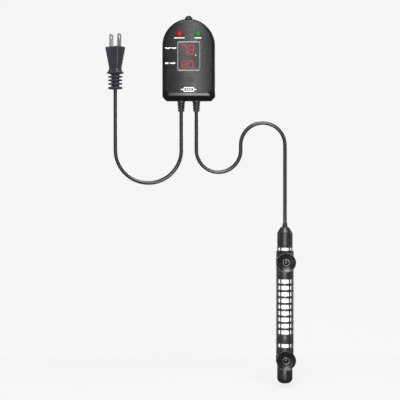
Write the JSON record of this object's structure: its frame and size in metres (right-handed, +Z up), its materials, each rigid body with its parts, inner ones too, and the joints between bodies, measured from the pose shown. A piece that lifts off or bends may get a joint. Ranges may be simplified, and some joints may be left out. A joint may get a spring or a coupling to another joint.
{
  "type": "submersible aquarium heater",
  "caption": "Quartz-tube aquarium heater in a slotted guard with suction cups, corded to a wall-hung temperature controller and a two-blade mains plug.",
  "frame": {"origin": "axis of the round entry of the wall keyhole, on the back face of the controller case", "axes": "+X to the viewer's right, +Y into the wall that the controller hangs on, +Z up; the display and the suction cups face -Y"},
  "size_m": [0.2305, 0.036, 0.4464],
  "materials": {
    "case_plastic": "fine satin-gloss moulded black",
    "steel_screws": "plated",
    "bezel_grey": "satin",
    "smoked_window": "polished, smoked",
    "display_dark": "matt",
    "red_lens": "translucent, polished",
    "green_lens": "translucent, polished",
    "red_led": "clear-tinted epoxy",
    "green_led": "clear-tinted epoxy",
    "button_rubber": "satin",
    "cream_plastic": "satin",
    "component_black": "matt moulded",
    "board_green": "solder mask",
    "brass_screws": "plated",
    "relay_blue": "moulded",
    "transformer_yellow": "taped",
    "capacitor_sleeve": "shrink sleeve",
    "capacitor_yellow": "box epoxy",
    "fuse_glass": "clear",
    "terminal_green": "moulded",
    "cord_rubber": "satin cord jacket",
    "plug_vinyl": "satin moulded vinyl",
    "blade_metal": "nickel plated",
    "wire_brown": "insulated",
    "wire_blue": "insulated",
    "wire_copper": "tinned copper",
    "guard_plastic": "satin moulded black",
    "opal_quartz": "opal, satin",
    "ceramic": "fired, unglazed",
    "resistance_wire": "oxidised",
    "bare_metal": "plated",
    "silicone_red": "silicone",
    "silicone_clear": "silicone",
    "cup_rubber": "soft gloss vinyl"
  },
  "bodies": {
    "controller": {"front_shell": "case_plastic", "back_shell": "case_plastic", "case_screws": "steel_screws", "display_bezel": "bezel_grey", "display_window": "smoked_window", "display_module": "display_dark", "heating_lens": "red_lens", "power_lens": "green_lens", "heating_led": "red_led", "power_led": "green_led", "switch_body": "component_black", "circuit_board": "board_green", "board_screws": "brass_screws", "power_relay": "relay_blue", "transformer": "transformer_yellow", "electrolytic_capacitor": "capacitor_sleeve", "film_capacitor": "capacitor_yellow", "fuse": "fuse_glass", "control_chip": "component_black", "terminal_block": "terminal_green", "cord_clamp": "cream_plastic", "clamp_screws": "brass_screws", "power_cord_boot": "cord_rubber", "heater_cord_boot": "cord_rubber", "power_cord_inlet": "cord_rubber", "heater_cord_outlet": "cord_rubber", "mains_wires": "wire_brown", "heater_wires": "wire_blue"},
    "set_button": {"set_button": "button_rubber"},
    "switch_plunger": {"switch_plunger": "cream_plastic"},
    "power_cord": {"power_cord": "cord_rubber"},
    "plug": {"plug_body": "plug_vinyl", "plug_blades": "blade_metal", "plug_insert": "cream_plastic", "plug_cord_end": "cord_rubber"},
    "heater_cord": {"heater_cord": "cord_rubber"},
    "heater": {"guard_cage": "guard_plastic", "top_cap": "guard_plastic", "bottom_cap": "guard_plastic", "quartz_tube": "opal_quartz", "ceramic_core": "ceramic", "heating_coils": "resistance_wire", "thermal_cutout": "bare_metal", "temperature_sensor": "component_black", "lead_wires": "wire_copper", "tube_bung": "silicone_red", "tube_cushions": "silicone_clear", "end_cushion": "silicone_clear", "heater_boot": "cord_rubber", "heater_cord_end": "cord_rubber"},
    "upper_clip": {"upper_cup_clip": "guard_plastic"},
    "upper_cup": {"upper_suction_cup": "cup_rubber"},
    "lower_clip": {"lower_cup_clip": "guard_plastic"},
    "lower_cup": {"lower_suction_cup": "cup_rubber"}
  },
  "joints": [
    {"name": "set_button_press", "type": "slide", "parent": "controller", "child": "set_button", "axis": [0, 1, 0], "range_m": [0, 0.0005], "stiffness_N_per_m": 400},
    {"name": "switch_plunger_press", "type": "slide", "parent": "controller", "child": "switch_plunger", "axis": [0, 1, 0], "range_m": [0, 0.0005]},
    {"name": "power_cord_bend", "type": "hinge", "parent": "controller", "child": "power_cord", "pos_m": [-0.0092, -0.013, -0.1072], "axis": [1, 0, 0], "range_deg": [-40, 40]},
    {"name": "plug_bend", "type": "hinge", "parent": "power_cord", "child": "plug", "pos_m": [-0.0894, -0.013, -0.082], "axis": [0, 1, 0], "range_deg": [-25, 25]},
    {"name": "heater_cord_bend", "type": "hinge", "parent": "controller", "child": "heater_cord", "pos_m": [0.0092, -0.013, -0.1072], "axis": [1, 0, 0], "range_deg": [-40, 40]},
    {"name": "heater_bend", "type": "hinge", "parent": "heater_cord", "child": "heater", "pos_m": [0.117, -0.013, -0.221], "axis": [0, 1, 0], "range_deg": [-30, 30]},
    {"name": "upper_clip_turn", "type": "hinge", "parent": "heater", "child": "upper_clip", "pos_m": [0.117, -0.013, -0.2798], "axis": [0, 0, 1], "continuous": true},
    {"name": "upper_cup_press", "type": "slide", "parent": "upper_clip", "child": "upper_cup", "axis": [0, 1, 0], "range_m": [0, 0.0025], "stiffness_N_per_m": 1500},
    {"name": "lower_clip_turn", "type": "hinge", "parent": "heater", "child": "lower_clip", "pos_m": [0.117, -0.013, -0.3976], "axis": [0, 0, 1], "continuous": true},
    {"name": "lower_cup_press", "type": "slide", "parent": "lower_clip", "child": "lower_cup", "axis": [0, 1, 0], "range_m": [0, 0.0025], "stiffness_N_per_m": 1500}
  ],
  "couplings": [
    {"joint": "switch_plunger_press", "follows": "set_button_press", "ratio": 1}
  ]
}
